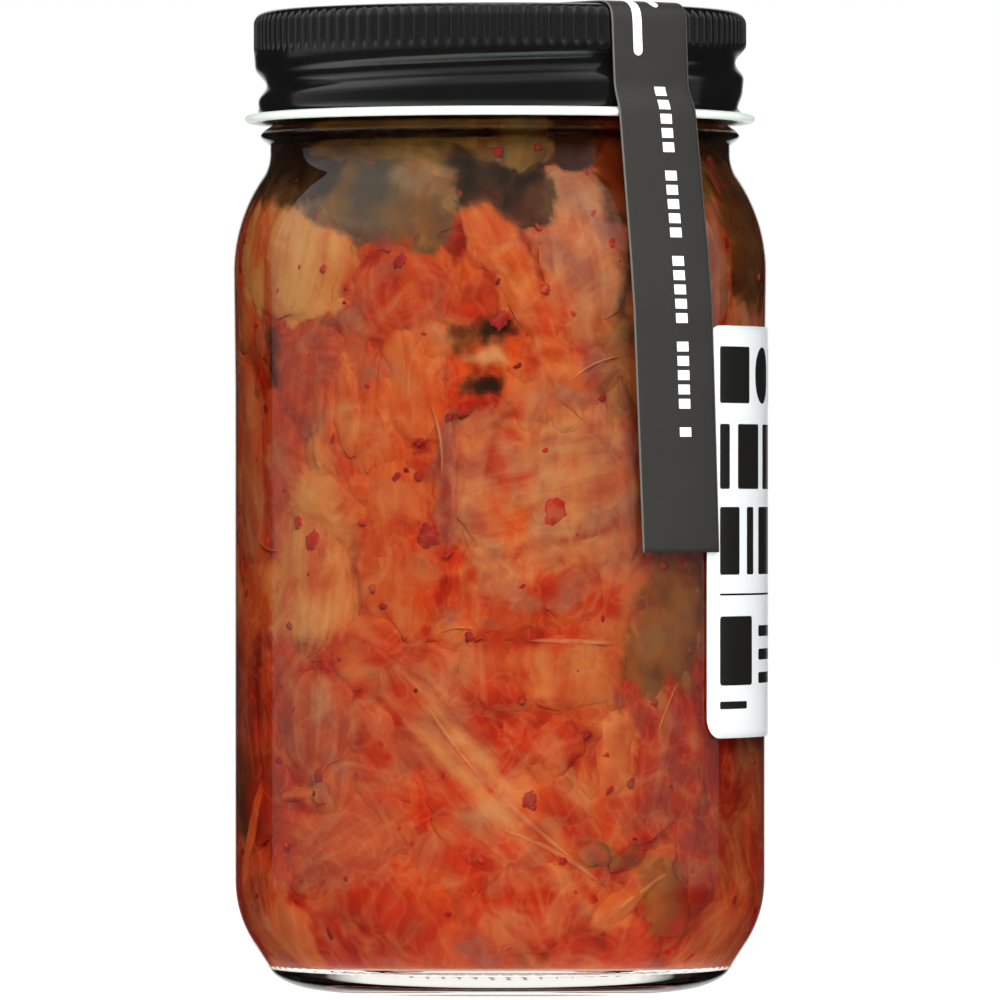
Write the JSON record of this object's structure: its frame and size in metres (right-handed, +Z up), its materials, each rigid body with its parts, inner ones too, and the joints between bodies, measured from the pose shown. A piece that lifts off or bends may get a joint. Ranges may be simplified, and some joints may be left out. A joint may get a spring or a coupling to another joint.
{
  "type": "kimchi jar",
  "caption": "Pint glass jar of cut cabbage kimchi with a black screw lid, a paper seal strip over the lid and a wrapped side label.",
  "frame": {"origin": "centre of the base, on the surface that the jar stands on", "axes": "+Z up along the jar's axis, -Y towards the front of the jar, +X to the viewer's right"},
  "size_m": [0.0784, 0.0778, 0.1434],
  "materials": {
    "glass": "clear, glossy, moulded",
    "lid_enamel": "gloss enamel on tinplate",
    "seal_paper": "satin coated",
    "label_paper": "glossy coated",
    "kimchi": "wet"
  },
  "bodies": {
    "root": {"glass_jar": "glass", "lid": "lid_enamel", "seal_strip": "seal_paper", "label": "label_paper", "kimchi": "kimchi"}
  },
  "joints": []
}
